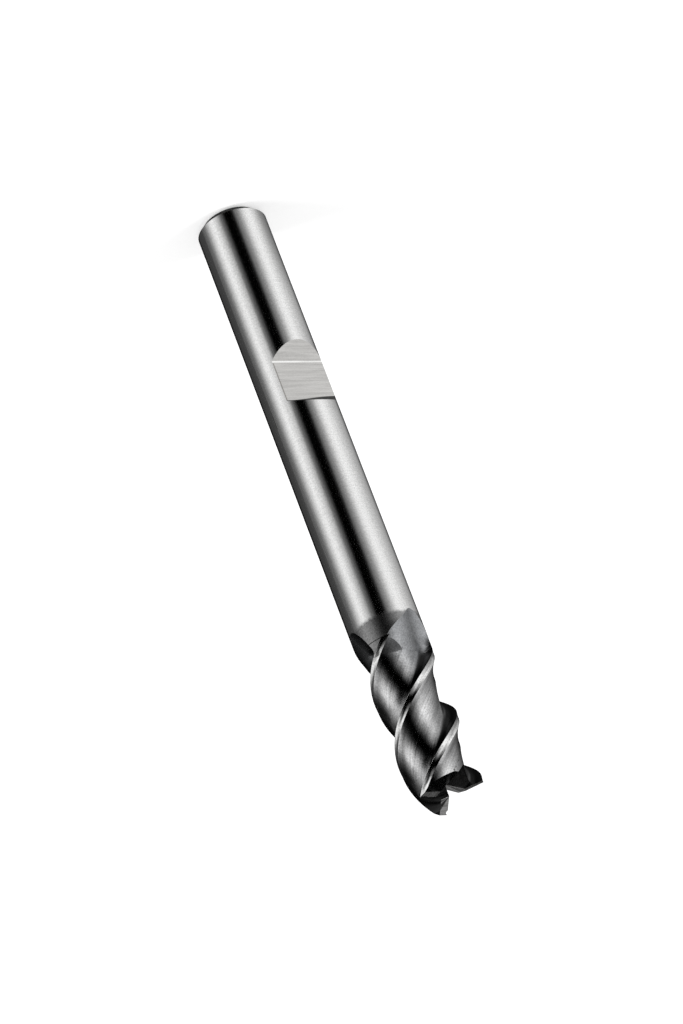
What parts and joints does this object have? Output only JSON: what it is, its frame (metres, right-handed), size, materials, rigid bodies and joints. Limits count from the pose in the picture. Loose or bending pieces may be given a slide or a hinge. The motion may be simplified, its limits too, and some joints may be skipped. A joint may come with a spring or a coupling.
{
  "type": "end mill",
  "caption": "Straight-shank end mill with steep helical flutes, relieved teeth, a gashed centre-cutting end and a clamping flat on the shank.",
  "frame": {"origin": "middle of the shank's flat end face, on which the tool stands", "axes": "+Z along the tool towards the cutting end, -Y out of the clamping flat, X completes the right-hand frame"},
  "size_m": [0.006, 0.006, 0.057],
  "materials": {
    "tool_steel": "ground and polished, satin in the flutes"
  },
  "bodies": {
    "root": {"endmill": "tool_steel"}
  },
  "joints": []
}
